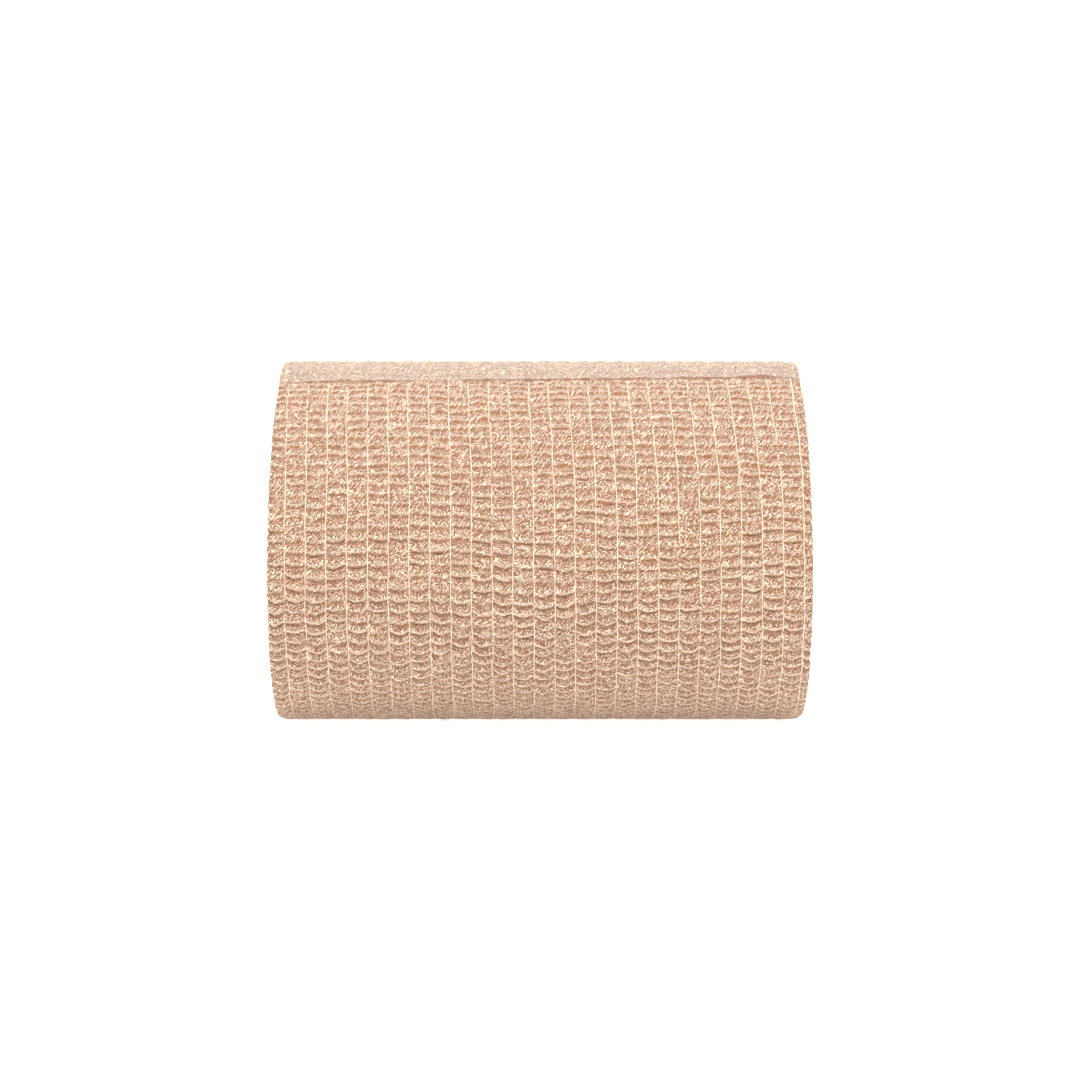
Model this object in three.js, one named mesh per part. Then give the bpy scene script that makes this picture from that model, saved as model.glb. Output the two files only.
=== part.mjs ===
// A cohesive bandage roll lying on its side: one strip of crinkled elastic cloth, wound
// without a core. Millimetres, +Z up, the roll's axis along X, the loose end at the top front.
import * as THREE from 'three';

// The strip and the roll it winds into
const ROLL_WIDTH = 75;
const OUTER_RADIUS = 26.2;
const TURN_THICKNESS = 0.85;

// Elastic threads run round the roll and draw the cloth in, so that it stands up in ribs
const THREAD_COUNT = 26;
const THREAD_PITCH = 2.857;
const RIB_HEIGHT = 0.35;
const RIB_SHOULDER = 0.7;

// Angles are measured from the front (-Y) upwards, in degrees
const LOOSE_EDGE_ANGLE = 72;
const EDGE_SLOPE = 1.4;
const FLAT_HALF_ANGLE = 12;

// The outer turn wanders sideways where it runs up under the loose end
const SIDE_DRIFT = -0.8;
const DRIFT_START_ANGLE = 20;

// Two places where the loose end has let go of the turn below
const LIPS = [
  { along: -29.3, halfWidth: 2.0, lift: 0.45 },
  { along: 31.3, halfWidth: 3.4, lift: 0.75 },
];
const LIP_ARC = 9;

// The wound ends: a rounded rim, a shallow dish and the small eye the first turn leaves
const RIM = [
  { drop: 0.05, inward: 1.35 },
  { drop: 0.25, inward: 0.65 },
  { drop: 0.85, inward: 0.15 },
  { drop: 1.8, inward: 0 },
];
const END_FACE = [
  { radius: 19.5, inward: 0.35 },
  { radius: 11.5, inward: 0.6 },
  { radius: 5, inward: 0.45 },
  { radius: 2.2, inward: 0.5 },
  { radius: 1.6, inward: 0.9 },
  { radius: 1.5, inward: 3 },
  { radius: 0, inward: 3 },
];
const END_WAVE = 0.25;

const HALF_WIDTH = ROLL_WIDTH / 2;
const ANGLES_PER_TURN = 360;
const LOWEST_ANGLE = -90;
// How far the outermost turn's growth reaches into the end faces
const GROWTH_DEPTH = 2.5;

function threadPlaces() {
  const first = -THREAD_PITCH * (THREAD_COUNT - 1) / 2;
  return Array.from({ length: THREAD_COUNT }, (_, index) => first + index * THREAD_PITCH);
}

// Half of the section through the axis, from the eye of one end round to the other
function rollProfile() {
  const leftEnd = [
    ...END_FACE.toReversed().map(({ radius, inward }) => [radius, inward - HALF_WIDTH]),
    ...RIM.toReversed().map(({ drop, inward }) => [OUTER_RADIUS - drop, inward - HALF_WIDTH]),
  ];
  const ribs = threadPlaces().flatMap((along, index) => {
    const groove = [OUTER_RADIUS - RIB_HEIGHT, along];
    const before = [OUTER_RADIUS, along - RIB_SHOULDER];
    const after = [OUTER_RADIUS, along + RIB_SHOULDER];
    if (index === 0) return [groove, after];
    if (index === THREAD_COUNT - 1) return [before, groove];
    return [before, groove, after];
  });
  const rightEnd = leftEnd.toReversed().map(([radius, along]) => [radius, -along]);
  return [...leftEnd, ...ribs, ...rightEnd].map(([radius, along]) => new THREE.Vector2(radius, along));
}

// The angles at which the section is set, following the strip inwards to outwards:
// from under the loose edge down the front, across the flat spot, up the back and over the top
function windingStations() {
  const lowerFront = LOWEST_ANGLE + FLAT_HALF_ANGLE;
  const lowerBack = LOWEST_ANGLE - FLAT_HALF_ANGLE;
  const looseEdge = LOOSE_EDGE_ANGLE - ANGLES_PER_TURN + EDGE_SLOPE;
  const arcs = [
    { from: LOOSE_EDGE_ANGLE, to: lowerFront, steps: 17 },
    { from: lowerFront, to: lowerBack, steps: 3 },
    { from: lowerBack, to: looseEdge + LIP_ARC, steps: 19 },
    { from: looseEdge + LIP_ARC, to: looseEdge, steps: 2 },
  ];
  const angles = arcs.flatMap(({ from, to, steps }) =>
    Array.from({ length: steps }, (_, step) => from + (to - from) * step / steps));
  return [...angles, looseEdge];
}

function smooth(value) {
  return THREE.MathUtils.smoothstep(value, 0, 1);
}

// How far the loose end stands off the turn below, at a place along the roll
function lipLift(along, turned) {
  const nearEdge = smooth(1 - (ANGLES_PER_TURN - EDGE_SLOPE - turned) / LIP_ARC);
  const raised = LIPS.map((lip) => lip.lift * smooth(1 - Math.abs(along - lip.along) / lip.halfWidth));
  return nearEdge * Math.max(...raised);
}

// Where the wound strip passes, for one point of the section set at one angle
function woundPoint(radius, along, angle, axisHeight) {
  const turned = LOOSE_EDGE_ANGLE - angle;
  const onOuterTurn = smooth(1 - (OUTER_RADIUS - radius) / GROWTH_DEPTH);
  const stillToGrow = TURN_THICKNESS * (1 - turned / (ANGLES_PER_TURN - EDGE_SLOPE));
  const lift = radius > OUTER_RADIUS - RIM[1].drop ? lipLift(along, turned) : 0;
  const wound = radius - stillToGrow * onOuterTurn + lift;

  const drift = SIDE_DRIFT * smooth((angle - DRIFT_START_ANGLE) / (LOOSE_EDGE_ANGLE - DRIFT_START_ANGLE));
  const awayFromRim = smooth((HALF_WIDTH - Math.abs(along)) / THREAD_PITCH);
  const radians = THREE.MathUtils.degToRad(angle);
  const wave = END_WAVE * (Math.sin(2 * radians) - 1) / 2 * radius / OUTER_RADIUS;
  const across = along + drift * awayFromRim * onOuterTurn + wave * Math.sign(along) * (1 - awayFromRim);

  const pressed = Math.abs(angle - LOWEST_ANGLE) <= FLAT_HALF_ANGLE && radius > OUTER_RADIUS - RIM[2].drop;
  const height = pressed ? 0 : axisHeight + wound * Math.sin(radians);
  return new THREE.Vector3(across, -wound * Math.cos(radians), Math.max(height, 0));
}

// The axis lies where the turn is just pressed flat over the flat spot's half angle
function axisHeight() {
  const turned = (LOOSE_EDGE_ANGLE - LOWEST_ANGLE + FLAT_HALF_ANGLE) / ANGLES_PER_TURN;
  const radius = OUTER_RADIUS - TURN_THICKNESS * (1 - turned);
  return radius * Math.cos(THREE.MathUtils.degToRad(FLAT_HALF_ANGLE));
}

// A plain lathed roll, each of its sections then moved to its station on the winding. The
// last step of the lathe joins the outer end of the turn to its start: the cut loose edge.
function bandageRollGeometry() {
  const profile = rollProfile();
  const stations = windingStations();
  const geometry = new THREE.LatheGeometry(profile, stations.length);
  const position = geometry.attributes.position;
  const height = axisHeight();
  for (let index = 0; index < position.count; index += 1) {
    const station = Math.floor(index / profile.length) % stations.length;
    const { x: radius, y: along } = profile[index % profile.length];
    const point = woundPoint(radius, along, stations[station], height);
    position.setXYZ(index, point.x, point.y, point.z);
  }
  geometry.computeBoundingBox();
  const centre = geometry.boundingBox.getCenter(new THREE.Vector3());
  geometry.translate(-centre.x, -centre.y, 0);
  geometry.computeVertexNormals();
  return geometry;
}

const crinkledCloth = new THREE.MeshStandardMaterial({
  name: 'crinkled_elastic_cloth',
  color: 0xd9b497,
  roughness: 0.9,
  metalness: 0,
});

const bandageRoll = new THREE.Mesh(bandageRollGeometry(), crinkledCloth);
bandageRoll.name = 'bandage_roll';

const model = new THREE.Group();
model.name = 'cohesive_bandage_roll';
model.add(bandageRoll);

export default model;
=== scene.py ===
"""A cohesive bandage roll lying on its side: one strip of crinkled elastic cloth, wound without a core.

Every piece is made in the flat, as the strip is before it is wound, and then wound. A point of
the flat strip is its place across (along the roll's axis), its place along (how far it lies past
the spot that the loose edge covers, outwards along the strip) and its height over the plain
outside of its turn. Lengths are in metres and angles in radians, unless a name says otherwise.
"""

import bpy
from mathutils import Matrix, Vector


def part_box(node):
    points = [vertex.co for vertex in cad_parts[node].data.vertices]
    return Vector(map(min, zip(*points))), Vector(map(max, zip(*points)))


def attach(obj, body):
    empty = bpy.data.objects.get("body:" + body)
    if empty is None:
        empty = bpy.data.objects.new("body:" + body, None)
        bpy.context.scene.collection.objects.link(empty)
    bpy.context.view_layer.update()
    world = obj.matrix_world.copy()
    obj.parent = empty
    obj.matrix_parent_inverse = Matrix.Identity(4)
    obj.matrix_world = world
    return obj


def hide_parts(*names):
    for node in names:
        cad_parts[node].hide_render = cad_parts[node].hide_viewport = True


bl_info = {
    "name": "Cohesive bandage roll",
    "version": (1, 0, 0),
    "blender": (4, 5, 0),
    "location": "3D View > Sidebar > Bandage",
    "description": "Winds a roll of crinkled elastic bandage over its packed solid",
    "category": "Object",
}

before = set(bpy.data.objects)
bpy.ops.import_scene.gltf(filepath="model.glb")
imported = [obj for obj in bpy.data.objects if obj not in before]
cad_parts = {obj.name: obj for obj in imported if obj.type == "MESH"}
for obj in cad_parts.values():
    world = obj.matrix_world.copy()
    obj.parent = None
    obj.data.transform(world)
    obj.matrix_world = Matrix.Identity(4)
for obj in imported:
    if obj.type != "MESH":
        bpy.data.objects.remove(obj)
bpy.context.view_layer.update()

import math

import bmesh
import bpy
import numpy as np
from bpy.props import FloatProperty, FloatVectorProperty, IntProperty, PointerProperty
from mathutils import Vector

NODE = "bandage_roll"
BODY = "root"

MM = 0.001
PER_MM = 1000
FULL_TURN = 2 * math.pi
QUARTER_TURN = math.pi / 2


def linear(colour):
    """The linear red, green and blue of an sRGB colour written as six hex digits."""
    shares = [int(colour[i : i + 2], 16) / 255 for i in (0, 2, 4)]
    return tuple(s / 12.92 if s <= 0.04045 else ((s + 0.055) / 1.055) ** 2.4 for s in shares)


def length(name, description, default):
    return FloatProperty(
        name=name, description=description, default=default, precision=5, subtype="DISTANCE", unit="LENGTH"
    )


def angle(name, description, degrees):
    return FloatProperty(
        name=name, description=description, default=math.radians(degrees), subtype="ANGLE", unit="ROTATION"
    )


def colour(name, description, hex_digits):
    return FloatVectorProperty(
        name=name, description=description, default=linear(hex_digits), subtype="COLOR", size=3, min=0, max=1
    )


class WindingSizes(bpy.types.PropertyGroup):
    turn_growth: length("Turn growth", "How far each turn lies outside the one before", 0.85 * MM)
    cloth_thickness: length("Cloth thickness", "The strip's thickness with its crinkles", 0.83 * MM)
    edge_thickness: length("Edge thickness", "The strip's thickness where it was cut off", 0.2 * MM)
    eye_radius: length("Eye radius", "The hole that the first turn leaves", 0.45 * MM)
    loose_edge_angle: angle("Loose edge angle", "Where the strip ends, from the front upwards", 72)
    overlap_angle: angle("Overlap angle", "How far the outer turn runs on under the loose end", 14)
    flat_half_angle: angle("Flat half angle", "Half of the arc that is pressed flat under the roll", 12)


class ClothSizes(bpy.types.PropertyGroup):
    thread_count: IntProperty(name="Threads", description="Elastic threads across the strip", default=26)
    thread_pitch: length("Thread pitch", "From one elastic thread to the next", 2.83 * MM)
    threads_aside: length("Threads aside", "How far the threads lie off the strip's middle", 0.64 * MM)
    thread_thickness: length("Thread thickness", "Across one elastic thread", 0.115 * MM)
    groove_depth: length("Groove depth", "How far the threads draw the cloth in", 0.24 * MM)
    groove_half_width: length("Groove half width", "From a thread to where its groove ends", 0.36 * MM)
    crinkle_pitch: length("Crinkle pitch", "From one crinkle to the next, along the strip", 1.58 * MM)
    crinkle_depth: length("Crinkle depth", "From crest to fold in the deepest crinkles", 0.5 * MM)
    calm_length: length("Calm length", "The smoother stretch at the loose end", 13 * MM)


class FibreSizes(bpy.types.PropertyGroup):
    surface_count: IntProperty(
        name="Surface fibres", description="Loose fibres on half of the outer turn", default=8000
    )
    edge_count: IntProperty(name="Edge fibres", description="Fibres out of the cut edges", default=3000)
    thickness: length("Fibre thickness", "Across one tuft of fibres", 0.055 * MM)
    shortest: length("Shortest fibre", "The shortest that shows", 0.6 * MM)
    longest: length("Longest fibre", "The longest that is common", 1.7 * MM)


class ClothColours(bpy.types.PropertyGroup):
    # The crest colours are the pale fibres' own, and also paint the highlight along the crinkles' crests
    crest: colour("Crest", "Fibres that catch the light, most of all on the crinkles' crests", "ead3b0")
    pinker_crest: colour("Pinker crest", "The same in the fibres that are a little pinker", "ecc8b7")
    body: colour("Body", "The cloth between its brighter fibres", "cb9d71")
    pinker_body: colour("Pinker body", "The same in the patches that are a little pinker", "d0947c")
    # Painted sheen: the paler, greyer tone laid over the loose end, at the top of the roll, where light
    # meets the fibres at a grazing angle
    grazing_sheen: colour("Rubbed", "The duller, greyer nap of the loose end", "b4a99b")
    gap: colour("Gap", "The dark gaps between the fibres", "643e29")
    # Painted shade: the deeper orange laid in the folds and just past each crest
    fold_shade: colour("Fold", "Down in the folds, where the colour deepens", "a57044")
    # The cut colour also paints the shadow line under the loose edge; on the cut face it is the bonding's
    # colour, kept darker as painted shade
    cut: colour("Cut", "The cut face of the loose edge, where the bonding shows", "a06a45")
    thread: colour("Thread", "The elastic threads", "e4d3be")
    fibre: colour("Fibre", "Loose fibres on the surface", "d6bfa8")


class StageSizes(bpy.types.PropertyGroup):
    camera_distance: length("Camera distance", "From the roll's axis to the camera", 390 * MM)
    camera_elevation: angle("Camera elevation", "How far the camera looks down", 8)
    focal_length: FloatProperty(name="Focal length", description="In millimetres", default=89.5)
    key_power: FloatProperty(name="Key power", description="The soft light above the front", default=9.7)
    fill_power: FloatProperty(name="Fill power", description="The weaker soft light behind", default=3.0)
    sky_strength: FloatProperty(name="Sky strength", description="The even light all round", default=1.05)


def smooth(value):
    """0 up to 0, 1 from 1 on, and an S curve between."""
    held = np.clip(value, 0, 1)
    return held * held * (3 - 2 * held)


def uneven(x, y, seed, steps_across=256):
    """Smooth unevenness from 0 to 1 that changes over each whole step of x and of y."""
    dots = np.random.default_rng(seed).random((steps_across, steps_across))
    left = np.floor(x).astype(int)
    low = np.floor(y).astype(int)
    over = smooth(x - left)
    up = smooth(y - low)
    left = left % steps_across
    low = low % steps_across
    right = (left + 1) % steps_across
    high = (low + 1) % steps_across
    near = dots[left, low] * (1 - over) + dots[right, low] * over
    far = dots[left, high] * (1 - over) + dots[right, high] * over
    return near * (1 - up) + far * up


def uneven_line(x, seed):
    """Smooth unevenness from 0 to 1 that changes over each whole step of x."""
    return uneven(x, np.full_like(x, 0.5), seed)


def by_chance(first, second, seed, steps_across=256):
    """One random number from 0 to 1 for each pair of whole numbers."""
    dots = np.random.default_rng(seed).random((steps_across, steps_across))
    return dots[first.astype(int) % steps_across, second.astype(int) % steps_across]


class Winding:
    """The spiral that the flat strip is wound into, pressed flat where it rests."""

    # How gently the flat spot runs into the round of the roll, as a share of the radius
    FLAT_SOFTNESS = 0.003

    # How far the turns spread sideways where they are pressed, and draw in at the top
    SPREAD = 0.011

    # The lowest that a pressed fibre or crest lies
    OVER_FLOOR = 0.02 * MM

    # The floor presses the turns no further round than this from the lowest line
    PRESSED_ANGLE = math.pi / 3

    def __init__(self, sizes):
        low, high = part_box(NODE)
        self.growth = sizes.turn_growth
        self.loose_edge = sizes.loose_edge_angle
        self.half_width = (high.x - low.x) / 2
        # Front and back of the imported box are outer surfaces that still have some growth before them
        growth_left = self.growth * (2 - self.turned_outside(0) - self.turned_outside(-math.pi))
        self.outer_radius = (high.y - low.y + growth_left) / 2
        self.start_radius = self.outer_radius - self.growth
        self.axis_y = low.y + self.outer_surface(0)
        self.axis_z = self.outer_surface(-QUARTER_TURN) * math.cos(sizes.flat_half_angle)
        self.edge = self.along(FULL_TURN)
        self.start = self.along(-sizes.overlap_angle)
        self.bottom = self.along(self.loose_edge + QUARTER_TURN)
        eye_turned = -(self.start_radius - sizes.eye_radius) / self.growth * FULL_TURN
        self.innermost = self.along(eye_turned)

    def turned_outside(self, angle):
        """The share of the outer turn that is done at an angle from the front upwards."""
        return np.mod(self.loose_edge - angle, FULL_TURN) / FULL_TURN

    def outer_surface(self, angle):
        """The outside radius of the round roll at an angle from the front upwards."""
        return self.outer_radius - self.growth * (1 - self.turned_outside(angle))

    def along(self, turned):
        """How far along the strip lies what is wound at a turned angle."""
        return self.start_radius * turned + self.growth * turned**2 / (2 * FULL_TURN)

    def turned(self, along):
        """At what turned angle a place along the strip is wound."""
        slope = self.growth / FULL_TURN
        return (np.sqrt(self.start_radius**2 + 2 * slope * along) - self.start_radius) / slope

    def place(self, across, along, height):
        """Where points of the flat strip lie once it is wound."""
        turned = self.turned(along)
        angle = self.loose_edge - turned
        radius = self.start_radius + self.growth * turned / FULL_TURN + height
        outside = self.outer_surface(angle)
        from_lowest = np.abs(np.mod(angle - QUARTER_TURN, FULL_TURN) - math.pi)
        from_lowest = np.clip(from_lowest, 0, self.PRESSED_ANGLE)
        past_floor = 1 - self.axis_z / (outside * np.cos(from_lowest))
        pressed = (past_floor + np.hypot(past_floor, self.FLAT_SOFTNESS)) / 2
        outward = np.minimum(radius / outside, 1) ** 2
        radius = radius * (1 - pressed * outward)
        spread = 1 - self.SPREAD * outward * np.sin(angle)
        over_floor = np.maximum(self.axis_z + radius * np.sin(angle), self.OVER_FLOOR)
        return np.stack([across * spread, self.axis_y - radius * np.cos(angle), over_floor], axis=-1)


class Cloth:
    """The relief of the flat strip: grooves over the threads, and crinkles between them."""

    # How far the loftiest crests and lumps stand over the roll's plain outside
    LOFT = 0.12 * MM

    # Each crinkle hangs over the next: where its crest stands, between one fold and the next
    CREST = 0.8

    # How far the rows of crinkles wander, step and tilt from cell to cell and fray, in rows
    ROW_WANDER = 1.0
    ROW_STEP = 0.4
    ROW_TILT = 0.6
    ROW_FRAY = 0.13

    # How far a crinkle hangs between its threads, in rows: least, spread, and more where slack
    HANG_LEAST = -0.05
    HANG_SPREAD = 0.3
    HANG_SLACK = 0.28

    # How weak the weakest crinkle is, how soon one counts as deep, and how each fades and swells
    WEAKEST = 0.4
    SOON_DEEP = 1.4
    FADED = 0.8
    SWELLING = 0.4

    # How much shallower the relief is on the calm loose end, and how suddenly
    CALMED = 0.6
    CALM_FADE = 0.6

    # The crinkles beside the loose edge are held down, and the slack ones are deeper
    HELD_DOWN = 0.85
    HELD_WIDTH = 0.9 * MM
    SLACK_DEEPER = 0.15

    # How much a thread draws the cloth in at its groove and all round it, and smooths the folds
    IN_GROOVE = 0.65
    IN_CROWN = 0.35
    FOLD_LEFT_OUT = 0.8

    # Soft lumps and the grain of the fibres
    LUMPS = 0.05 * MM
    GRAIN = 0.03 * MM

    # The outer turn's cut sides curl down a little over the turn below
    CURL_WIDTH = 1.5 * MM
    CURL_DROP = 0.4 * MM
    INSET = 0.3 * MM

    # How far in the crinkles draw the cut sides, and over what width
    SCALLOP_DEPTH = 0.35 * MM
    SCALLOP_WIDTH = 1.2 * MM

    # The loose edge isn't cut quite square, and its last few millimetres are stuck down
    CUT_SKEW = -1.0 * MM
    CUT_WAVE = 0.5 * MM
    CUT_NICKS = 0.18 * MM
    STUCK_LENGTH = 4 * MM

    # How far the stuck edge sinks, how much further where it is flush, and how far its underside
    # reaches into the folds of the turn below
    BITE = 0.02 * MM
    DEEPER_BITE = 0.14 * MM
    UNDER_BITE = 0.45 * MM

    # across and half width of the two places that have let go, and how far they stand off
    LIPS = (
        {"across": -27.4 * MM, "half_width": 2.4 * MM, "lift": 0.16 * MM},
        {"across": 31.2 * MM, "half_width": 3.1 * MM, "lift": 0.24 * MM},
    )

    # across and half width of the stretches where the edge is pressed into the turn below
    FLUSH = (
        {"across": -36.0 * MM, "half_width": 4.5 * MM},
        {"across": -15.0 * MM, "half_width": 6.5 * MM},
        {"across": 17.5 * MM, "half_width": 2.0 * MM},
        {"across": 37.0 * MM, "half_width": 3.5 * MM},
    )

    # The share of its half width over which such a stretch comes and goes
    STRETCH_FADE = 0.625

    # The line of the loose edge: the painted shadow that it casts on the turn below, its cut face, the
    # faintest that it gets, and how much of it is lost where it is flush
    SHADOW_PAST_CUT = 0.05 * MM
    SHADOW_HALF_WIDTH = 0.2 * MM
    CUT_FACE = 0.1 * MM
    LINE_LEAST = 0.55
    LINE_LOST = 0.6

    # Sideways wander of the threads, and their drift where the outer turn runs up under the loose end
    WAVER = 0.5 * MM
    DRIFT = -0.8 * MM
    DRIFT_LENGTH = 24 * MM

    # Low on the front the strip was wound slacker: its crinkles are deeper and sag between threads
    # There the painted crest highlights show more clearly and the painted fold shade is stronger
    SLACK_FROM = 28 * MM
    SLACK_TO = 105 * MM
    SLACK_LENGTH = 20 * MM

    # Under the roll its weight presses the relief flatter
    PRESSED_HALF = 5 * MM
    PRESSED_FADE = 5 * MM
    FLATTENED = 0.8

    def __init__(self, winding, cloth, sizes):
        self.winding = winding
        self.cloth = cloth
        self.sizes = sizes
        self.half_width = winding.half_width - self.INSET
        first = cloth.threads_aside - cloth.thread_pitch * (cloth.thread_count - 1) / 2
        self.threads = first + np.arange(cloth.thread_count) * cloth.thread_pitch
        self.cell_edges = np.concatenate([[-self.half_width], self.threads, [self.half_width]])

    def before_edge(self, along):
        """How far a place lies before the loose edge."""
        return self.winding.edge - along

    def from_side(self, across):
        """How far a place lies in from the nearer cut side."""
        return self.half_width - np.abs(across)

    def slack(self, along):
        """0 on most of the strip, and 1 low on the front."""
        begun = smooth((along - self.SLACK_FROM) / self.SLACK_LENGTH)
        return begun * smooth((self.SLACK_TO - along) / self.SLACK_LENGTH)

    def calm(self, along):
        """0 on most of the strip, 1 on its loose end, which is pulled smoother than the rest."""
        return smooth((1 - self.before_edge(along) / self.cloth.calm_length) / self.CALM_FADE)

    def held_down(self, across, along):
        """How much the crinkles are held down beside the loose edge, on it and on the turn below."""
        from_cut = np.minimum(np.abs(self.past_cut(across, along)), self.before_edge(along))
        return self.HELD_DOWN * np.exp(-((from_cut / self.HELD_WIDTH) ** 2))

    def rows(self, across, along):
        """How many crinkles lie before a point, and how strong they are there."""
        cell = np.searchsorted(self.threads, across)
        left = self.cell_edges[cell]
        share = np.clip((across - left) / (self.cell_edges[cell + 1] - left), 0, 1)
        wander = self.ROW_WANDER * uneven(across / (16 * MM), along / (13 * MM), seed=11)
        step = self.ROW_STEP * uneven(cell * 7.31, along / (8 * MM), seed=12)
        tilt = self.ROW_TILT * (uneven(cell * 0.61, along / (5 * MM), seed=13) - 0.5)
        slack = self.slack(along)
        hanging = self.HANG_SPREAD * uneven(cell * 3.71, along / (4 * MM), seed=14)
        hanging = hanging + self.HANG_SLACK * slack + self.HANG_LEAST
        fray = self.ROW_FRAY * uneven(across / (0.6 * MM), along / (0.9 * MM), seed=16)
        count = along / self.cloth.crinkle_pitch + wander + step + tilt * (share - 0.5)
        count = count - hanging * np.sin(math.pi * share) + fray
        deep = smooth(self.SOON_DEEP * by_chance(cell, np.floor(count) + 128, seed=15))
        fading = self.FADED + self.SWELLING * uneven(across / (1.9 * MM), along / (1.3 * MM), seed=20)
        strength = (self.WEAKEST + (1 - self.WEAKEST) * deep) * fading
        strength = strength * (1 - self.CALMED * self.calm(along)) * (1 + self.SLACK_DEEPER * slack)
        return count, strength * (1 - self.held_down(across, along))

    def crinkles(self, across, along):
        """How far the folds between the threads reach down, from 0 at a crest to 1 in the deepest."""
        count, strength = self.rows(across, along)
        place = count - np.floor(count)
        swelling = np.sqrt(1 - np.clip(1 - place / self.CREST, 0, 1) ** 2)
        dropping = np.cos(QUARTER_TURN * np.clip((place - self.CREST) / (1 - self.CREST), 0, 1)) ** 2
        return (1 - swelling * dropping) * strength

    def cut(self, across):
        """How far the uneven cut of the loose edge lies past the strip's nominal end."""
        skew = self.CUT_SKEW * across / self.half_width
        wave = self.CUT_WAVE * (uneven_line(across / (9 * MM), seed=21) - 0.5)
        nicks = self.CUT_NICKS * (uneven_line(across / (0.8 * MM), seed=22) - 0.5)
        return skew + wave + nicks

    def past_cut(self, across, along):
        """How far a point of the turn below lies past the loose edge above it."""
        return along - self.cut(across)

    def edge_line(self, across, along):
        """Where the cut face of the loose edge shows, and the painted shadow line that it casts on the turn
        below.
        """
        clear = smooth(2.2 * uneven_line(across / (1.6 * MM), seed=24) - 0.4)
        broken = self.LINE_LEAST + (1 - self.LINE_LEAST) * clear
        from_edge_shadow = self.past_cut(across, along) - self.SHADOW_PAST_CUT
        edge_shadow = np.exp(-((from_edge_shadow / self.SHADOW_HALF_WIDTH) ** 2))
        cut_face = np.clip(1 - self.before_edge(along) / self.CUT_FACE, 0, 1)
        return np.maximum(edge_shadow, cut_face) * broken * (1 - self.LINE_LOST * self.flush(across))

    def from_thread(self, across):
        """How far a place lies from the nearest thread."""
        return np.min(np.abs(across[:, None] - self.threads[None, :]), axis=1)

    def relief(self, across, along):
        """Height of the cloth's face over the roll's plain outside, so mostly below 0."""
        cloth = self.cloth
        nearest = self.from_thread(across)
        drawn_in = np.exp(-((nearest / cloth.groove_half_width) ** 2))
        crown = np.cos(math.pi * np.clip(nearest / cloth.thread_pitch, 0, 0.5)) ** 2
        grooves = cloth.groove_depth * (self.IN_GROOVE * drawn_in + self.IN_CROWN * crown)
        grooves = grooves * (1 - self.CALMED * self.calm(along))
        folds = cloth.crinkle_depth * self.crinkles(across, along) * (1 - self.FOLD_LEFT_OUT * drawn_in)
        lumps = self.LUMPS * uneven(across / (0.55 * MM), along / (0.42 * MM), seed=17)
        grain = self.GRAIN * uneven(across / (0.3 * MM), along / (0.2 * MM), seed=18)
        from_bottom = np.abs(along - self.winding.bottom)
        pressed = smooth(1 - (from_bottom - self.PRESSED_HALF) / self.PRESSED_FADE)
        return self.LOFT - (grooves + folds + lumps + grain) * (1 - self.FLATTENED * pressed)

    def stuck_down(self, along):
        """0 on most of the strip, 1 at the loose edge, where it is stuck to the turn below."""
        return smooth(1 - self.before_edge(along) / self.STUCK_LENGTH)

    def at(self, across, stretch):
        """0 off a named stretch of the loose edge, and 1 on it."""
        from_middle = np.abs(across - stretch["across"]) / stretch["half_width"]
        return smooth((1 - from_middle) / self.STRETCH_FADE)

    def let_go(self, across):
        """How far the loose edge stands up at the lips."""
        return np.max([lip["lift"] * self.at(across, lip) for lip in self.LIPS], axis=0)

    def flush(self, across):
        """How far the loose edge is sunk into the turn below, from 0 to 1."""
        return np.max([self.at(across, stretch) for stretch in self.FLUSH], axis=0)

    def lifted(self, across, along):
        """How far the face lies off its turn near the loose edge: up at the lips, down elsewhere."""
        bite = self.BITE + self.DEEPER_BITE * self.flush(across)
        down = self.sizes.turn_growth - self.sizes.edge_thickness + bite
        return self.stuck_down(along) * (self.let_go(across) - down)

    def curl(self, across):
        """How far the cut sides curl down."""
        return self.CURL_DROP * np.clip(1 - self.from_side(across) / self.CURL_WIDTH, 0, 1) ** 2

    def face(self, across, along):
        """Height of the strip's outer side."""
        return self.relief(across, along) + self.lifted(across, along) - self.curl(across)

    def back(self, across, along):
        """Height of the strip's inner side, which is plain, as it is out of sight."""
        near = self.stuck_down(along)
        at_edge = self.sizes.edge_thickness + self.UNDER_BITE
        thickness = self.sizes.cloth_thickness * (1 - near) + at_edge * near
        return self.lifted(across, along) - self.curl(across) - thickness

    def threads_wander(self, across, along):
        """Sideways move of the threads and their cells, which dies out at the cut sides."""
        drift = self.DRIFT * (1 - smooth(along / self.DRIFT_LENGTH))
        waver = self.WAVER * (uneven(np.full_like(along, 3.5), along / (26 * MM), seed=19) - 0.5)
        return across + (drift + waver) * smooth(self.from_side(across) / self.cloth.thread_pitch)

    def scalloped(self, across, along):
        """How much the crinkles draw the cut sides in, as a share of the place across."""
        at_side = smooth(1 - self.from_side(across) / self.SCALLOP_WIDTH)
        return 1 - self.SCALLOP_DEPTH / self.half_width * at_side * self.crinkles(across, along)

    def cut_line(self, across, along):
        """Moves the last stretch of the strip so that it ends in the uneven cut."""
        near = smooth(1 - self.before_edge(along) / self.cloth.calm_length)
        return along + near * self.cut(across)


def winding_and_cloth(context):
    scene = context.scene
    winding = Winding(scene.bandage_winding)
    return winding, Cloth(winding, scene.bandage_cloth, scene.bandage_winding)


def points_of(mesh):
    points = np.empty(len(mesh.vertices) * 3)
    mesh.vertices.foreach_get("co", points)
    return points.reshape(-1, 3)


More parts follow.
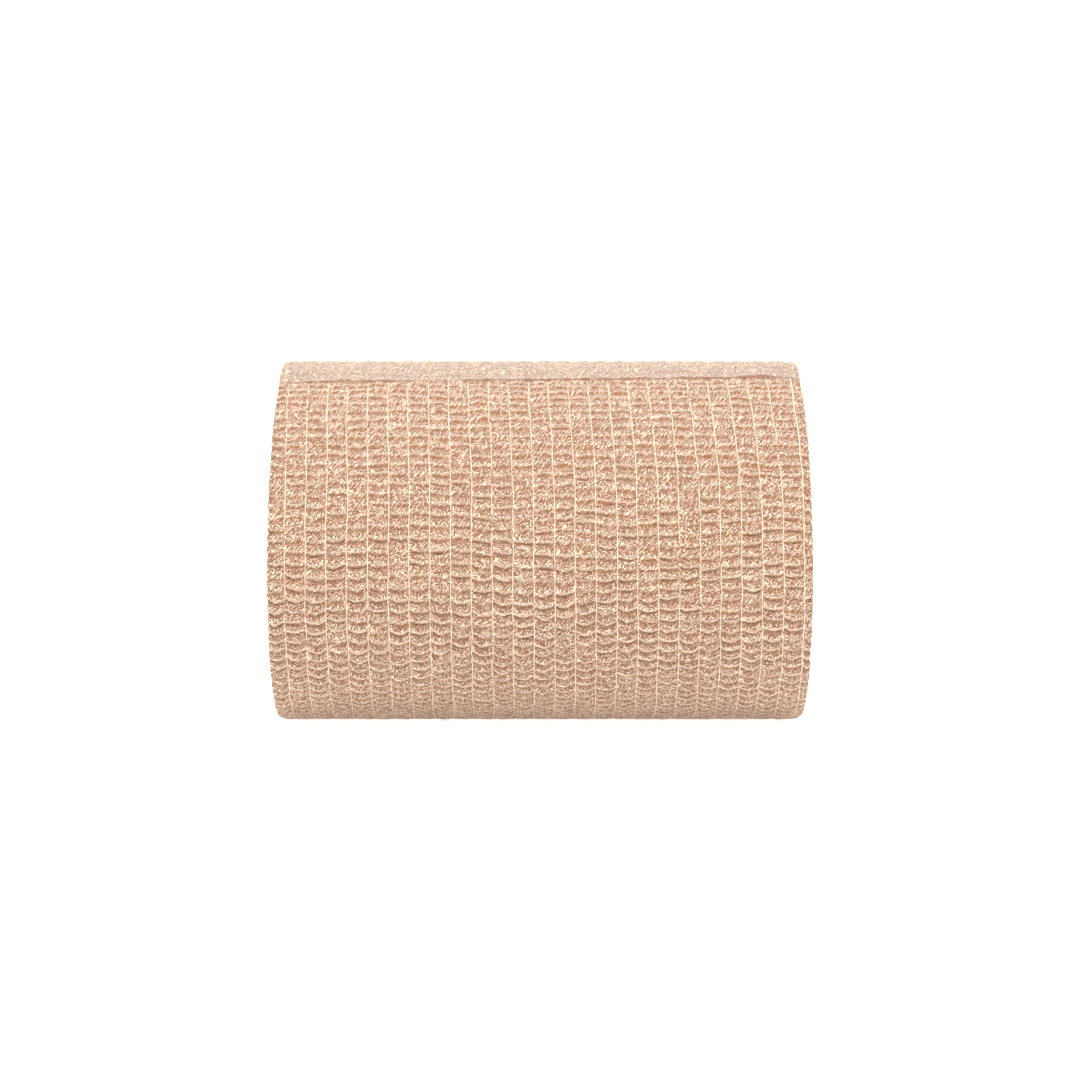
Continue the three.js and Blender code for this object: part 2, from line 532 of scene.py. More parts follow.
def wind(mesh, winding, across, along, height, **known):
    """Winds a mesh that is made in the flat.

    Its material gets each point's place on the flat strip in millimetres, and what else is known
    there by name, as three values."""
    mesh.vertices.foreach_set("co", winding.place(across, along, height).ravel())
    known["strip"] = np.array([across, along, height]) * PER_MM
    for name, values in known.items():
        attribute = mesh.attributes.new(name, "FLOAT_VECTOR", "POINT")
        attribute.data.foreach_set("vector", np.stack(values, axis=-1).ravel())
    mesh.flip_normals()
    mesh.shade_smooth()
    mesh.update()


def in_scene(name, content):
    """Puts a mesh, a light or a camera into the scene."""
    item = bpy.data.objects.new(name, content)
    bpy.context.scene.collection.objects.link(item)
    return item


def mesh_of(name, shape):
    """Makes a mesh of a finished shape."""
    mesh = bpy.data.meshes.new(name)
    shape.to_mesh(mesh)
    shape.free()
    return mesh


def face_along(item, direction):
    """Turns a light or a camera to look in a direction."""
    item.rotation_mode = "QUATERNION"
    item.rotation_quaternion = direction.to_track_quat("-Z", "Y")


def piece_of(mesh, material):
    """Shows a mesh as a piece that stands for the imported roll."""
    piece = in_scene(mesh.name, mesh)
    mesh.materials.append(material)
    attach(piece, BODY)
    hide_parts(NODE)
    return piece


def flat_slab(name, columns, rows, cuts):
    """A flat slab from -1 to 1 both ways and from -1 up to 0, its top cut finer than its base.

    The rim of its base is sharp, so that the shading of the thin sides isn't bent round to it."""
    shape = bmesh.new()
    bmesh.ops.create_grid(shape, x_segments=columns, y_segments=rows, size=1)
    top = list(shape.verts)
    lower = bmesh.ops.extrude_face_region(shape, geom=shape.faces[:], use_keep_orig=True)["geom"]
    base = [item for item in lower if isinstance(item, bmesh.types.BMVert)]
    bmesh.ops.translate(shape, verts=base, vec=(0, 0, -1))
    kept = set(top)
    for edge in shape.edges:
        beside = {vert for face in edge.link_faces for vert in face.verts}
        edge.smooth = not (kept.isdisjoint(edge.verts) and kept & beside)
    if cuts:
        edges = [edge for edge in shape.edges if edge.verts[0] in kept and edge.verts[1] in kept]
        bmesh.ops.subdivide_edges(shape, edges=edges, cuts=cuts, use_grid_fill=True)
    bmesh.ops.recalc_face_normals(shape, faces=shape.faces)
    return mesh_of(name, shape)


# How much closer the columns of the outer turn stand beside the threads than between them
GATHERED = 0.4


def outer_stretch(name, cloth, first, last, rows, cuts):
    """One stretch of the outer turn as a closed slab, with all its relief on the face."""
    columns = len(cloth.cell_edges) - 1
    mesh = flat_slab(name, columns, rows, cuts)
    x, y, z = points_of(mesh).T
    place = (x + 1) / 2 * columns
    cell = np.clip(np.floor(place).astype(int), 0, columns - 1)
    share = place - cell
    gathered = share - GATHERED * np.sin(FULL_TURN * share) / FULL_TURN
    across = cloth.cell_edges[cell] * (1 - gathered) + cloth.cell_edges[cell + 1] * gathered
    along = first + (y + 1) / 2 * (last - first)
    height = np.where(z > -0.5, cloth.face(across, along), cloth.back(across, along))
    crinkle = (*cloth.rows(across, along), cloth.slack(along))
    line = [cloth.edge_line(across, along)] * 3
    moved_across = cloth.threads_wander(across, along) * cloth.scalloped(across, along)
    moved_along = cloth.cut_line(across, along)
    wind(mesh, cloth.winding, moved_across, moved_along, height, crinkle=crinkle, edge=line)
    return mesh


def small_tubes(name, count, sides, cuts):
    """Many short tubes in a row, 1 long and 1 in radius, as one mesh.

    Gives the mesh, which tube each point is in, its share of the way along it, and its place round it."""
    shape = bmesh.new()
    bmesh.ops.create_cone(shape, cap_ends=True, segments=sides, radius1=1, radius2=1, depth=1)
    long_edges = [edge for edge in shape.edges if abs(edge.verts[0].co.z - edge.verts[1].co.z) > 0.5]
    bmesh.ops.subdivide_edges(shape, edges=long_edges, cuts=cuts, use_grid_fill=True)
    one = mesh_of(name + "_one", shape)
    holder = in_scene(name + "_one", one)
    row = holder.modifiers.new("row", "ARRAY")
    row.count = count
    row.use_relative_offset = False
    row.use_constant_offset = True
    row.constant_offset_displace = (0, 0, 2)
    repeated = holder.evaluated_get(bpy.context.evaluated_depsgraph_get())
    mesh = bpy.data.meshes.new_from_object(repeated)
    mesh.name = name
    bpy.data.objects.remove(holder)
    bpy.data.meshes.remove(one)
    x, y, z = points_of(mesh).T
    tube = np.round(z / 2).astype(int)
    return mesh, tube, z - 2 * tube + 0.5, x, y


class BANDAGE_OT_inner_turns(bpy.types.Operator):
    """Winds all the turns inside the outer one, whose edges show at the roll's two ends"""

    bl_idname = "bandage.inner_turns"
    bl_label = "Wind the inner turns"

    ROWS = 5400
    # How far in from the cut side each column of the strip lies, and how full its thickness is there
    COLUMNS_IN = (0, 0.3 * MM, 1.0 * MM)
    FULLNESS = (0.5, 0.9, 1.12)
    # The blind eye and the shallow dish of the wound ends, by radius
    DISH_RADII = (1.45 * MM, 1.75 * MM, 2.2 * MM, 5 * MM, 11.5 * MM, 19.5 * MM, 24.4 * MM)
    DISH_DEPTHS = (3.0 * MM, 0.9 * MM, 0.5 * MM, 0.45 * MM, 0.6 * MM, 0.35 * MM, 0.0)
    # The rims carry the painted crest highlight all over, which lightens the ends: their place in a row, how
    # strongly it shows, and no slack
    RIM_HIGHLIGHT = (0.73, 0.6, 0)
    # How far the turns lie in at the ends, in slow swings and frayed, and how far they wave
    TELESCOPE = 0.5 * MM
    FRAY = 0.2 * MM
    WAVE = 0.3 * MM
    # How thick a turn is, as shares of the cloth's thickness: at least, and how much more at most
    THICK_LEAST = 0.85
    THICK_SPREAD = 0.3
    GAP_TO_OUTER_TURN = 0.02 * MM

    def execute(self, context):
        winding, cloth = winding_and_cloth(context)
        columns = 2 * len(self.COLUMNS_IN) - 1
        mesh = flat_slab("inner_turns", columns, self.ROWS, cuts=0)
        x, y, z = points_of(mesh).T
        column = np.round((x + 1) / 2 * columns).astype(int)
        from_end = np.minimum(column, columns - column)
        last = winding.start - self.GAP_TO_OUTER_TURN
        along = winding.innermost + (y + 1) / 2 * (last - winding.innermost)
        turned = winding.turned(along)
        radius = winding.start_radius + winding.growth * turned / FULL_TURN
        side = np.sign(x)
        inward = np.interp(radius, self.DISH_RADII, self.DISH_DEPTHS)
        # Each end has its own rows in the tables of random numbers
        inward = inward + self.TELESCOPE * uneven(9 + 4.5 * side, turned / 2.1, seed=31)
        inward = inward + self.FRAY * uneven(9 + 4.5 * side, along / (0.6 * MM), seed=32)
        wave = self.WAVE * (uneven(9 + 3.5 * side, along / (0.75 * MM), seed=33) - 0.5)
        thicker = self.THICK_SPREAD * uneven(9 + 2.5 * side, along / (1.1 * MM), seed=34)
        across = side * (winding.half_width - inward - np.take(self.COLUMNS_IN, from_end))
        thickness = cloth.sizes.cloth_thickness
        full = thickness * (self.THICK_LEAST + thicker) * np.take(self.FULLNESS, from_end)
        height = wave - thickness / 2 + np.where(z > -0.5, 0.5, -0.5) * full
        wind(mesh, winding, across, along, height, crinkle=np.outer(self.RIM_HIGHLIGHT, np.ones(len(along))))
        piece = piece_of(mesh, crinkled_nonwoven(context))
        return {"FINISHED"}


class BANDAGE_OT_outer_turn(bpy.types.Operator):
    """Lays the outer turn over the rest, in two stretches that meet under the roll"""

    bl_idname = "bandage.outer_turn"
    bl_label = "Lay the outer turn"

    CUTS = 7
    FRONT_ROWS = 54
    BACK_ROWS = 55

    def execute(self, context):
        winding, cloth = winding_and_cloth(context)
        material = crinkled_nonwoven(context)
        stretches = (
            ("outer_turn_front", winding.start, winding.bottom, self.FRONT_ROWS),
            ("outer_turn_back", winding.bottom, winding.edge, self.BACK_ROWS),
        )
        for name, first, last, rows in stretches:
            mesh = outer_stretch(name, cloth, first, last, rows, self.CUTS)
            piece = piece_of(mesh, material)
        return {"FINISHED"}


class BANDAGE_OT_threads(bpy.types.Operator):
    """Lays the elastic threads in the grooves of the outer turn"""

    bl_idname = "bandage.threads"
    bl_label = "Lay the elastic threads"

    SIDES = 6
    STEPS = 240
    # How far a taut thread's middle lies under the plain outside of its turn
    TAUT_DEPTH = 0.1 * MM
    # How much further it lies where fibres cover it, and on the calm loose end
    COVERED = 0.2 * MM
    CALM_DEPTH = 0.2 * MM
    CALM_FROM = 16 * MM
    CALM_OVER = 6 * MM
    # How far it sways and kinks sideways, and stands out of the loose edge
    SWAY = 0.2 * MM
    KINK = 0.06 * MM
    ENDS_OUT = 0.15 * MM

    def execute(self, context):
        winding, cloth = winding_and_cloth(context)
        count = context.scene.bandage_cloth.thread_count
        half_thick = context.scene.bandage_cloth.thread_thickness / 2
        mesh, tube, share, beside, over = small_tubes("elastic_threads", count, self.SIDES, self.STEPS - 1)
        along = winding.start + share * (winding.edge + self.ENDS_OUT - winding.start)
        sway = self.SWAY * (uneven(tube * 6.3, along / (3.2 * MM), seed=41) - 0.5)
        kink = self.KINK * (uneven(tube * 4.7, along / (0.8 * MM), seed=42) - 0.5)
        middle = cloth.threads[tube]
        centre = middle + sway + kink
        covered = self.COVERED * smooth(1.9 * uneven(tube * 8.9, along / (1.6 * MM), seed=43) - 1.05)
        calm = self.CALM_DEPTH * smooth((along - winding.edge + self.CALM_FROM) / self.CALM_OVER)
        taut = cloth.lifted(middle, along) - cloth.curl(middle) - self.TAUT_DEPTH
        height = taut - covered - calm + over * half_thick
        across = cloth.threads_wander(centre + beside * half_thick, along)
        wind(mesh, winding, across, cloth.cut_line(middle, along), height)
        piece_of(mesh, elastic_thread(context))
        return {"FINISHED"}


class BANDAGE_OT_fibres(bpy.types.Operator):
    """Raises the loose fibres that stand on the outer turn and out of the cut edges"""

    bl_idname = "bandage.fibres"
    bl_label = "Raise the loose fibres"

    SIDES = 3
    CUTS = 2

    # Surface fibres lie mostly slantwise, bend, and arch from end to end, some of them higher
    HEADING = math.radians(45)
    HEADING_SPREAD = math.radians(22)
    BEND = 0.9
    MOSTLY_SHORT = 2.2
    HIGH_SHARE = 0.15
    HIGH_ARCH = (0.15 * MM, 0.45 * MM)
    LOW_ARCH = 0.09 * MM
    OVER_CLOTH = 0.05 * MM
    CLEAR_OF_EDGE = 0.3 * MM
    THICKNESSES = (0.6, 1.2)
    TAPER = 0.7

    # Fibres at the cut sides stand out of the strip and lean over
    EDGE_LENGTHS = (0.5 * MM, 1.4 * MM)
    EDGE_HEIGHTS = (-0.55 * MM, -0.05 * MM)
    EDGE_THICKNESSES = (0.5, 0.9)
    EDGE_TAPER = 0.6
    ROOTED_IN = 0.7 * MM
    STANDING_OUT = 0.85
    LEAN_ALONG = 0.7
    LEAN_OUT = 0.5
    STRAIGHT_LEAN = 0.3

    def execute(self, context):
        winding, cloth = winding_and_cloth(context)
        sizes = context.scene.bandage_fibres
        material = loose_fibre(context)
        self.on_surface(sizes, cloth, material, "fibres_front", 0, winding.bottom)
        self.on_surface(sizes, cloth, material, "fibres_back", winding.bottom, winding.edge)
        self.on_edges(sizes, winding, material)
        return {"FINISHED"}

    def on_surface(self, sizes, cloth, material, name, first, last):
        winding = cloth.winding
        count = sizes.surface_count
        mesh, tube, share, beside, over = small_tubes(name, count, self.SIDES, self.CUTS)
        chance = np.random.default_rng(int(first / MM))
        start_across = chance.uniform(-cloth.half_width, cloth.half_width, count)
        start_along = chance.uniform(first, last - self.CLEAR_OF_EDGE, count)
        longer = chance.random(count) ** self.MOSTLY_SHORT
        lengths = sizes.shortest + (sizes.longest - sizes.shortest) * longer
        heading = chance.choice([-1, 1], count) * chance.normal(self.HEADING, self.HEADING_SPREAD, count)
        bend = chance.normal(0, self.BEND, count)
        high = chance.random(count) < self.HIGH_SHARE
        arches = np.where(high, chance.uniform(*self.HIGH_ARCH, count), self.LOW_ARCH)
        half_thick = sizes.thickness / 2 * chance.uniform(*self.THICKNESSES, count)

        turn = heading[tube] + bend[tube] * (share - 0.5)
        reach = lengths[tube] * (share - 0.5)
        thick_here = half_thick[tube] * (1 - self.TAPER * np.abs(2 * share - 1) ** 3)
        side = beside * thick_here
        across = start_across[tube] + reach * np.cos(turn) - side * np.sin(turn)
        along = start_along[tube] + reach * np.sin(turn) + side * np.cos(turn)
        held = np.clip(across, -cloth.half_width, cloth.half_width)
        on_roll = np.clip(along, winding.start, winding.edge)
        arch = arches[tube] * np.sin(math.pi * share) + self.OVER_CLOTH
        height = cloth.face(held, on_roll) + arch + over * thick_here
        moved_across = cloth.threads_wander(across, on_roll)
        wind(mesh, winding, moved_across, cloth.cut_line(across, on_roll), height)
        piece_of(mesh, material)

    def on_edges(self, sizes, winding, material):
        count = sizes.edge_count
        mesh, tube, share, beside, over = small_tubes("fibres_at_edges", count, self.SIDES, self.CUTS)
        chance = np.random.default_rng(61)
        end = chance.choice([-1, 1], count)
        on_outer_turn = chance.random(count) < 0.5
        outer = chance.uniform(winding.start, winding.edge, count)
        inner = chance.uniform(winding.innermost, 0, count)
        start_along = np.where(on_outer_turn, outer, inner)
        start_height = chance.uniform(*self.EDGE_HEIGHTS, count)
        shortest, longest = self.EDGE_LENGTHS
        lengths = shortest + (longest - shortest) * chance.random(count) ** 2
        lean_along = chance.normal(0, self.LEAN_ALONG, count)
        lean_out = chance.normal(0, self.LEAN_OUT, count)
        half_thick = sizes.thickness / 2 * chance.uniform(*self.EDGE_THICKNESSES, count)

        reach = lengths[tube] * share
        curved = reach * share
        thick_here = half_thick[tube] * (1 - self.EDGE_TAPER * share)
        across = end[tube] * (winding.half_width - self.ROOTED_IN + self.STANDING_OUT * reach)
        along = start_along[tube] + (self.STRAIGHT_LEAN * reach + curved) * lean_along[tube]
        along = np.clip(along + beside * thick_here, winding.innermost, winding.edge)
        height = start_height[tube] + curved * lean_out[tube] + over * thick_here
        wind(mesh, winding, across, along, height)
        piece_of(mesh, material)


def add_node(tree, kind, settings=None, inputs=None, output=None):
    """Adds a node, sets what is named, fills or links its inputs, and gives the output asked for."""
    node = tree.nodes.new(kind)
    for name, value in (settings or {}).items():
        setattr(node, name, value)
    for socket, value in (inputs or {}).items():
        if isinstance(value, bpy.types.NodeSocket):
            tree.links.new(value, node.inputs[socket])
        else:
            node.inputs[socket].default_value = value
    return node if output is None else node.outputs[output]


MIX_COLOURS = {"data_type": "RGBA"}
FLAT_NOISE = {"noise_dimensions": "2D"}


def new_material(name):
    material = bpy.data.materials.new(name)
    material.use_nodes = True
    material.node_tree.nodes.clear()
    return material, material.node_tree


def finish_material(tree, inputs):
    """Gives a material its surface."""
    surface = add_node(tree, "ShaderNodeBsdfPrincipled", inputs=inputs, output="BSDF")
    add_node(tree, "ShaderNodeOutputMaterial", inputs={"Surface": surface})


def opaque(colour):
    return (*colour, 1)


def in_rows(tree):
    """The lit crest lines, clearest where the cloth is slack, and the shade past each crest."""
    crinkle = add_node(tree, "ShaderNodeAttribute", {"attribute_name": "crinkle"}, output="Vector")
    count, strength, slack = add_node(tree, "ShaderNodeSeparateXYZ", inputs={"Vector": crinkle}).outputs
    place = add_node(tree, "ShaderNodeMath", {"operation": "FRACT"}, {0: count}, 0)
    # Where the lit line comes in and goes out round the crest, and the shade past it and after the fold
    steps = []
    for none, full in ((0.52, 0.7), (0.84, 0.78), (0.82, 0.87), (0.45, 0.05)):
        between = {"Value": place, "From Min": none, "From Max": full}
        steps.append(add_node(tree, "ShaderNodeMapRange", inputs=between, output="Result"))
    rise, drop, under, after = steps
    line = add_node(tree, "ShaderNodeMath", {"operation": "MULTIPLY"}, {0: rise, 1: drop}, 0)
    shade = add_node(tree, "ShaderNodeMath", {"operation": "MAXIMUM"}, {0: under, 1: after}, 0)
    clear = add_node(tree, "ShaderNodeMapRange", inputs={"Value": slack, "To Min": 0.5}, output="Result")
    seen = add_node(tree, "ShaderNodeMath", {"operation": "MULTIPLY"}, {0: clear, 1: strength}, 0)
    lit = add_node(tree, "ShaderNodeMath", {"operation": "MULTIPLY"}, {0: line, 1: seen}, 0)
    shaded = add_node(tree, "ShaderNodeMath", {"operation": "MULTIPLY"}, {0: shade, 1: strength}, 0)
    return lit, shaded


def flat_place(tree):
    """The place on the flat strip in millimetres, moved on by the height so that it runs on round
    the cut sides, with the place along and the height by themselves."""
    strip = add_node(tree, "ShaderNodeAttribute", {"attribute_name": "strip"}, output="Vector")
    across, along, height = add_node(tree, "ShaderNodeSeparateXYZ", inputs={"Vector": strip}).outputs
    aside = add_node(tree, "ShaderNodeMath", {"operation": "SUBTRACT"}, {0: across, 1: height}, 0)
    ahead = add_node(tree, "ShaderNodeMath", {"operation": "ADD"}, {0: along, 1: height}, 0)
    flat = add_node(tree, "ShaderNodeCombineXYZ", inputs={"X": aside, "Y": ahead}, output="Vector")
    return flat, along, height


def crossing_fibres(tree, place, headings, long_mm, wide_mm, patch_mm):
    """Short strokes that run one way or another from patch to patch.

    Gives 0 along the middle of a bright stroke, and about 1 in the gaps between strokes."""
    laid = None
    for layer, degrees in enumerate(headings):
        stroke = {
            "Vector": place,
            "Location": (7.3 * layer, 3.1 * layer, 0),
            "Rotation": (0, 0, math.radians(degrees)),
            "Scale": (long_mm, wide_mm, 1),
        }
        turned = add_node(tree, "ShaderNodeMapping", {"vector_type": "TEXTURE"}, stroke, "Vector")
        cells = {"Vector": turned, "Scale": 1}
        strokes = add_node(tree, "ShaderNodeTexVoronoi", {"voronoi_dimensions": "2D"}, cells)
        brightness = {0: strokes.outputs["Color"], 1: 0.4, 2: strokes.outputs["Distance"]}
        one_way = add_node(tree, "ShaderNodeMath", {"operation": "MULTIPLY_ADD"}, brightness, 0)
        if laid is None:
            laid = one_way
            continue
        aside = {0: place, 1: (11.7 * layer, 5.9 * layer, 0)}
        moved = add_node(tree, "ShaderNodeVectorMath", {"operation": "ADD"}, aside, "Vector")
        patches = {"Vector": moved, "Scale": 1 / patch_mm, "Detail": 1.0}
        cloud = add_node(tree, "ShaderNodeTexNoise", FLAT_NOISE, patches, "Fac")
        sharp = {"Value": cloud, "From Min": 0.47, "From Max": 0.53}
        patch = add_node(tree, "ShaderNodeMapRange", inputs=sharp, output="Result")
        either = {"Factor": patch, "A": laid, "B": one_way}
        laid = add_node(tree, "ShaderNodeMix", {"data_type": "FLOAT"}, either, "Result")
    return laid


def crinkled_nonwoven(context):
    """Spunlaid nonwoven of matt synthetic fibres, bonded with latex and gathered by its elastic.

    Matt and dry to the eye, covered in short crossing fibres that catch the light, with dark gaps
    between them, and a deeper orange down in the folds, where light has met the cloth more than once."""
    name = "crinkled_nonwoven"
    if name in bpy.data.materials:
        return bpy.data.materials[name]
    colours = context.scene.bandage_colours
    material, tree = new_material(name)
    flat, along, _ = flat_place(tree)

    noises = []
    for scale, detail in ((0.8, 1.0), (1 / 0.2, 0.0), (1 / 2.2, 1.0), (1 / 0.5, 2.0)):
        cloudy = {"Vector": flat, "Scale": scale, "Detail": detail}
        noises.append(add_node(tree, "ShaderNodeTexNoise", FLAT_NOISE, cloudy).outputs)
    sway, specks, blotches, small_blotches = noises

    # The real fibres are about 0.02 mm thick, too fine to show, so strokes ten times as wide stand
    # for bundles of them, with specks as coarse between
    bending = {0: sway["Color"], 1: (0.5, 0.5, 0), 2: flat}
    bent = add_node(tree, "ShaderNodeVectorMath", {"operation": "MULTIPLY_ADD"}, bending, "Vector")
    strokes = crossing_fibres(tree, bent, (6, 34, -36, 54, -56), long_mm=0.95, wide_mm=0.19, patch_mm=0.9)
    laid = add_node(tree, "ShaderNodeMath", {"operation": "ADD"}, {0: specks["Fac"], 1: strokes}, 0)

    # The bright fibres, the gaps between them, and where the fibres are a little pinker
    steps = []
    for value, none, full in ((laid, 1.06, 0.89), (laid, 1.09, 1.25), (small_blotches["Fac"], 0.42, 0.58)):
        between = {"Value": value, "From Min": none, "From Max": full}
        steps.append(add_node(tree, "ShaderNodeMapRange", inputs=between, output="Result"))
    fibres, gaps, pinker = steps
    crest_colours = {"Factor": pinker, "A": opaque(colours.crest), "B": opaque(colours.pinker_crest)}
    pale = add_node(tree, "ShaderNodeMix", MIX_COLOURS, crest_colours, "Result")

    crest_highlights, shades = in_rows(tree)
    edge_line = add_node(tree, "ShaderNodeAttribute", {"attribute_name": "edge"}, output="Fac")
    edge = Winding(context.scene.bandage_winding).edge * PER_MM
    # Painted sheen over the loose end, coming in over the stretch before the edge
    sheen_band = {"Value": along, "From Min": edge - 24, "From Max": edge - 3, "To Max": 0.4}

    # Each layer of colour, where it shows, and how much of it does
    shown = opaque(colours.body)
    for layer, where in (
        (opaque(colours.pinker_body), {"Value": blotches["Fac"], "From Min": 0.4, "From Max": 0.6}),
        (pale, {"Value": fibres}),
        (opaque(colours.gap), {"Value": gaps, "To Max": 0.85}),
        # Painted shade in the folds and just past each crest
        (opaque(colours.fold_shade), {"Value": shades, "To Max": 0.62}),
        # Painted highlight along the crinkles' crests
        (pale, {"Value": crest_highlights, "To Max": 0.75}),
        # Painted sheen on the loose end
        (opaque(colours.grazing_sheen), sheen_band),
        # The cut face, darkened as painted shade, and the painted shadow line under the loose edge
        (opaque(colours.cut), {"Value": edge_line, "To Max": 0.75}),
    ):
        factor = add_node(tree, "ShaderNodeMapRange", inputs=where, output="Result")
        over = {"Factor": factor, "A": shown, "B": layer}
        shown = add_node(tree, "ShaderNodeMix", MIX_COLOURS, over, "Result")

    raised = add_node(tree, "ShaderNodeMath", {"operation": "SUBTRACT"}, {0: fibres, 1: gaps}, 0)
    relief = {"Strength": 1.0, "Distance": 0.2 * MM, "Height": raised}
    surface = {
        "Base Color": shown,
        "Roughness": 0.92,
        "Specular IOR Level": 0.2,
        "Sheen Weight": 0.28,
        "Sheen Roughness": 0.5,
        "Normal": add_node(tree, "ShaderNodeBump", inputs=relief, output="Normal"),
    }
    finish_material(tree, surface)
    return material


def elastic_thread(context):
    """Polyurethane elastic yarn, undyed: a cream line, a little smoother than the cloth round it."""
    colours = context.scene.bandage_colours
    material, tree = new_material("elastic_thread")
    flat, _, _ = flat_place(tree)
    wide = {"Vector": flat, "Scale": 0.7, "Detail": 2.0}
    clouds = add_node(tree, "ShaderNodeTexNoise", inputs=wide, output="Fac")
    bare = {"Value": clouds, "From Min": 0.4, "From Max": 0.6}
    uncovered = add_node(tree, "ShaderNodeMapRange", inputs=bare, output="Result")
    fibres_or_thread = {"Factor": uncovered, "A": opaque(colours.fibre), "B": opaque(colours.thread)}
    shown = add_node(tree, "ShaderNodeMix", MIX_COLOURS, fibres_or_thread, "Result")
    finish_material(tree, {"Base Color": shown, "Roughness": 0.6, "IOR": 1.5, "Specular IOR Level": 0.4})
    return material


def loose_fibre(context):
    """Synthetic fibres in small tufts: paler than the cloth, as thin things lit from all sides are."""
    colours = context.scene.bandage_colours
    material, tree = new_material("loose_fibre")
    flat, _, height = flat_place(tree)
    wide = {"Vector": flat, "Scale": 0.9, "Detail": 1.0}
    clouds = add_node(tree, "ShaderNodeTexNoise", inputs=wide, output="Fac")
    tints = {"Factor": clouds, "A": opaque(colours.crest), "B": opaque(colours.fibre)}
    raised = add_node(tree, "ShaderNodeMix", MIX_COLOURS, tints, "Result")
    # Painted shade: fibres low in the folds take the darker body colour
    low = {"Value": height, "From Min": -0.1, "From Max": -0.6, "To Max": 0.8}
    in_fold = add_node(tree, "ShaderNodeMapRange", inputs=low, output="Result")
    raised_or_sunk = {"Factor": in_fold, "A": raised, "B": opaque(colours.body)}
    shown = add_node(tree, "ShaderNodeMix", MIX_COLOURS, raised_or_sunk, "Result")
    finish_material(tree, {"Base Color": shown, "Roughness": 0.8, "IOR": 1.5, "Specular IOR Level": 0.3})
    return material


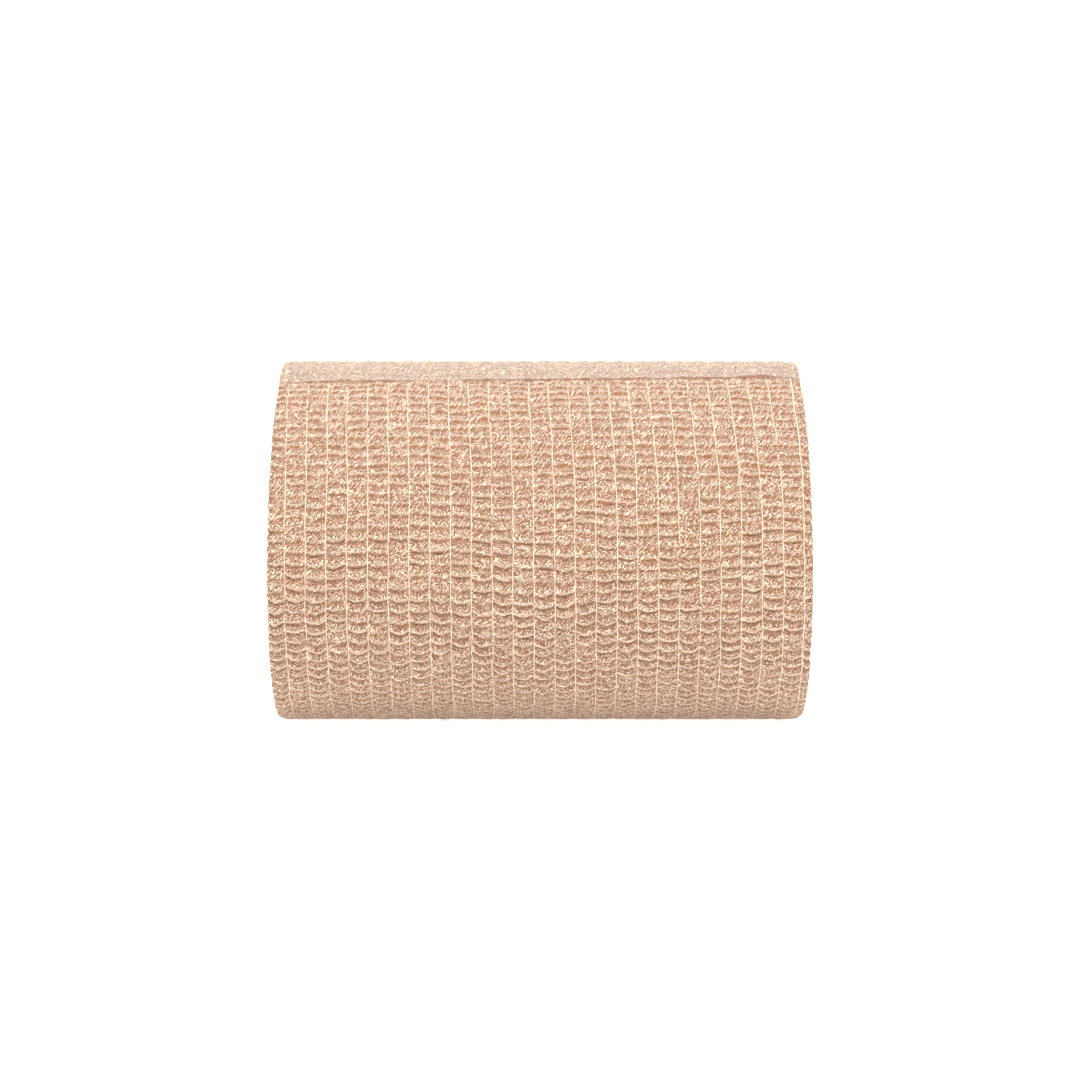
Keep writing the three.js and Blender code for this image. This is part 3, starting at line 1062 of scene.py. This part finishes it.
class BANDAGE_OT_stage(bpy.types.Operator):
    """Sets the pale floor, the soft studio light and the camera"""

    bl_idname = "bandage.stage"
    bl_label = "Set the stage"

    FLOOR_HALF = 3.0
    WALL_HEIGHT = 3.0
    SWEEP_RADIUS = 1.2
    # A large soft light above the front, and a weaker one behind
    LAMPS = {"key": (0.0, -0.39, 0.78), "fill": (0.0, 0.6, 0.6)}
    LAMP_SIZE = 0.5
    GLOW = 0.85
    # The nearest that the camera sees, and how far the frame's middle lies above the roll's axis,
    # as a share of the frame
    NEAREST = 10 * MM
    SHIFT = 0.0014

    def execute(self, context):
        winding, _ = winding_and_cloth(context)
        middle = Vector((0, winding.axis_y, winding.axis_z))
        self.floor()
        self.light(context, middle)
        self.camera(context, middle)
        return {"FINISHED"}

    def floor(self):
        shape = bmesh.new()
        bmesh.ops.create_grid(shape, x_segments=1, y_segments=1, size=self.FLOOR_HALF)
        back = [edge for edge in shape.edges if all(vert.co.y > 0 for vert in edge.verts)]
        wall = bmesh.ops.extrude_edge_only(shape, edges=back)["geom"]
        top = [item for item in wall if isinstance(item, bmesh.types.BMVert)]
        bmesh.ops.translate(shape, verts=top, vec=(0, 0, self.WALL_HEIGHT))
        sweep = {"offset": self.SWEEP_RADIUS, "segments": 16, "profile": 0.5, "material": -1}
        bmesh.ops.bevel(shape, geom=back, affect="EDGES", **sweep)
        mesh = mesh_of("floor", shape)
        mesh.shade_smooth()
        mesh.materials.append(self.light_table())
        floor = in_scene("floor", mesh)

    def light_table(self):
        """Opal white acrylic, lit a little from below, which keeps the ground pale up to the roll."""
        material, tree = new_material("opal_acrylic")
        glow = {"Emission Color": (1, 1, 1, 1), "Emission Strength": self.GLOW}
        finish_material(tree, {"Base Color": opaque(linear("d4d4d4")), "Roughness": 1.0, **glow})
        return material

    def light(self, context, middle):
        stage = context.scene.bandage_stage
        powers = {"key": stage.key_power, "fill": stage.fill_power}
        for name, place in self.LAMPS.items():
            light = bpy.data.lights.new(name, "AREA")
            light.shape = "SQUARE"
            light.size = self.LAMP_SIZE
            light.energy = powers[name]
            lamp = in_scene(name, light)
            lamp.location = place
            face_along(lamp, middle - lamp.location)
        world = bpy.data.worlds.new("even_light")
        world.use_nodes = True
        sky = world.node_tree.nodes["Background"]
        sky.inputs["Color"].default_value = (1, 1, 1, 1)
        sky.inputs["Strength"].default_value = stage.sky_strength
        context.scene.world = world
        context.scene.view_settings.view_transform = "Standard"

    def camera(self, context, middle):
        stage = context.scene.bandage_stage
        lens = bpy.data.cameras.new("camera")
        lens.lens = stage.focal_length
        lens.clip_start = self.NEAREST
        lens.shift_y = self.SHIFT
        camera = in_scene("camera", lens)
        back = Vector((0, -math.cos(stage.camera_elevation), math.sin(stage.camera_elevation)))
        camera.location = middle + back * stage.camera_distance
        face_along(camera, -back)
        context.scene.camera = camera


class BANDAGE_PT_panel(bpy.types.Panel):
    bl_idname = "BANDAGE_PT_panel"
    bl_label = "Bandage roll"
    bl_space_type = "VIEW_3D"
    bl_region_type = "UI"
    bl_category = "Bandage"

    def draw(self, context):
        for group in SETTINGS:
            box = self.layout.box()
            settings = getattr(context.scene, group)
            for name in settings.bl_rna.properties.keys():
                if name not in ("rna_type", "name"):
                    box.prop(settings, name)
        for operator in OPERATORS:
            self.layout.operator(operator.bl_idname)


SETTINGS = {
    "bandage_winding": WindingSizes,
    "bandage_cloth": ClothSizes,
    "bandage_fibres": FibreSizes,
    "bandage_colours": ClothColours,
    "bandage_stage": StageSizes,
}
OPERATORS = (
    BANDAGE_OT_inner_turns,
    BANDAGE_OT_outer_turn,
    BANDAGE_OT_threads,
    BANDAGE_OT_fibres,
    BANDAGE_OT_stage,
)


def register():
    for group in SETTINGS.values():
        bpy.utils.register_class(group)
    for operator in OPERATORS:
        bpy.utils.register_class(operator)
    bpy.utils.register_class(BANDAGE_PT_panel)
    for name, group in SETTINGS.items():
        setattr(bpy.types.Scene, name, PointerProperty(type=group))


def unregister():
    for name in SETTINGS:
        delattr(bpy.types.Scene, name)
    bpy.utils.unregister_class(BANDAGE_PT_panel)
    for operator in reversed(OPERATORS):
        bpy.utils.unregister_class(operator)
    for group in reversed(SETTINGS.values()):
        bpy.utils.unregister_class(group)


def main():
    register()
    bpy.ops.bandage.inner_turns()
    bpy.ops.bandage.outer_turn()
    bpy.ops.bandage.threads()
    bpy.ops.bandage.fibres()
    bpy.ops.bandage.stage()


if __name__ == "__main__":
    main()
